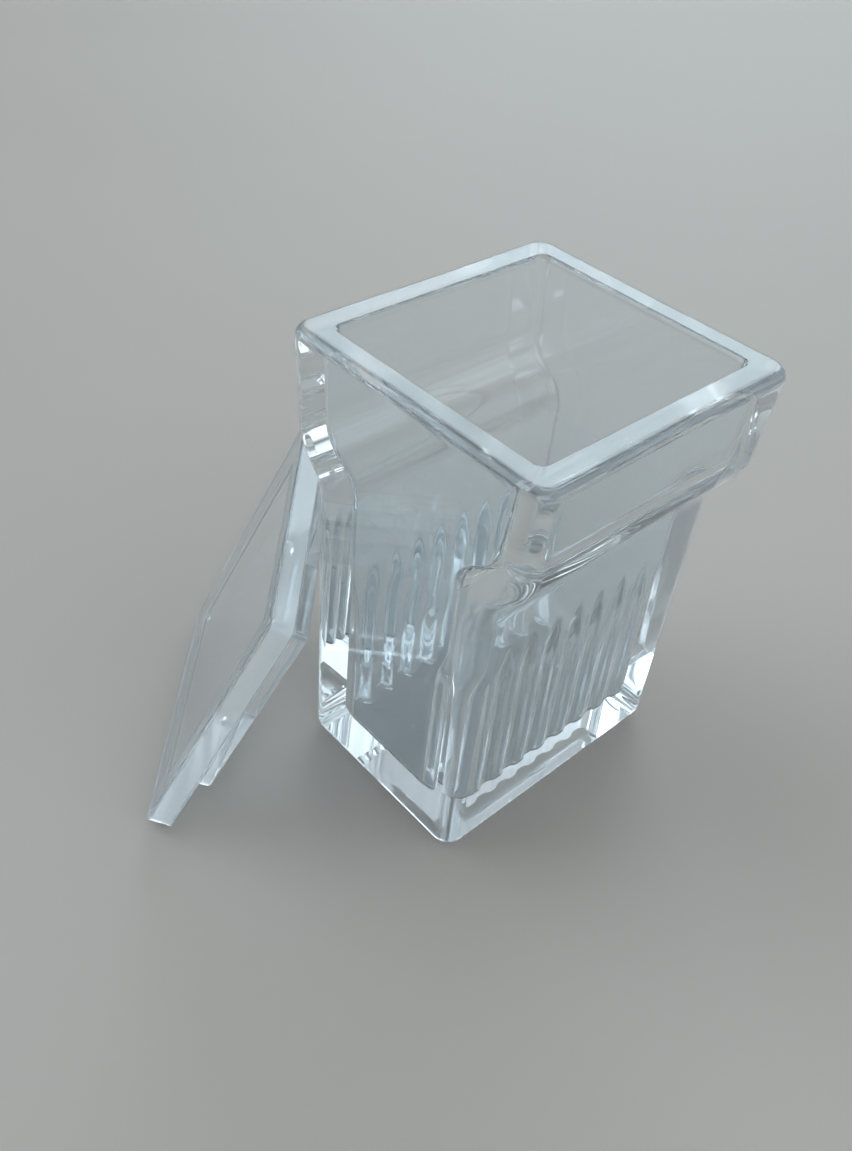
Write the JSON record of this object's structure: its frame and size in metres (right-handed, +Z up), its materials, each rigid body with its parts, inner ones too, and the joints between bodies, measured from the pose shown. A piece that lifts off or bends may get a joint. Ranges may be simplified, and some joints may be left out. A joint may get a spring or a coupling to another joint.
{
  "type": "slide staining jar",
  "caption": "Tall clear glass staining jar with a wide collar, ribbed grooves inside for microscope slides, and a loose plugged lid leaning on one corner.",
  "frame": {"origin": "centre of the jar's foot, on the surface that it stands on", "axes": "+Z up out of the mouth, +X across the slides towards one ribbed wall, +Y along the row of slides"},
  "size_m": [0.0873, 0.0969, 0.088],
  "materials": {
    "jar_glass": "clear pressed soda-lime glass, fire polished, with a ground satin rim",
    "lid_glass": "clear pressed soda-lime glass, fire polished, with a ground seating band round the plug"
  },
  "bodies": {
    "root": {"jar": "jar_glass", "lid": "lid_glass"}
  },
  "joints": []
}
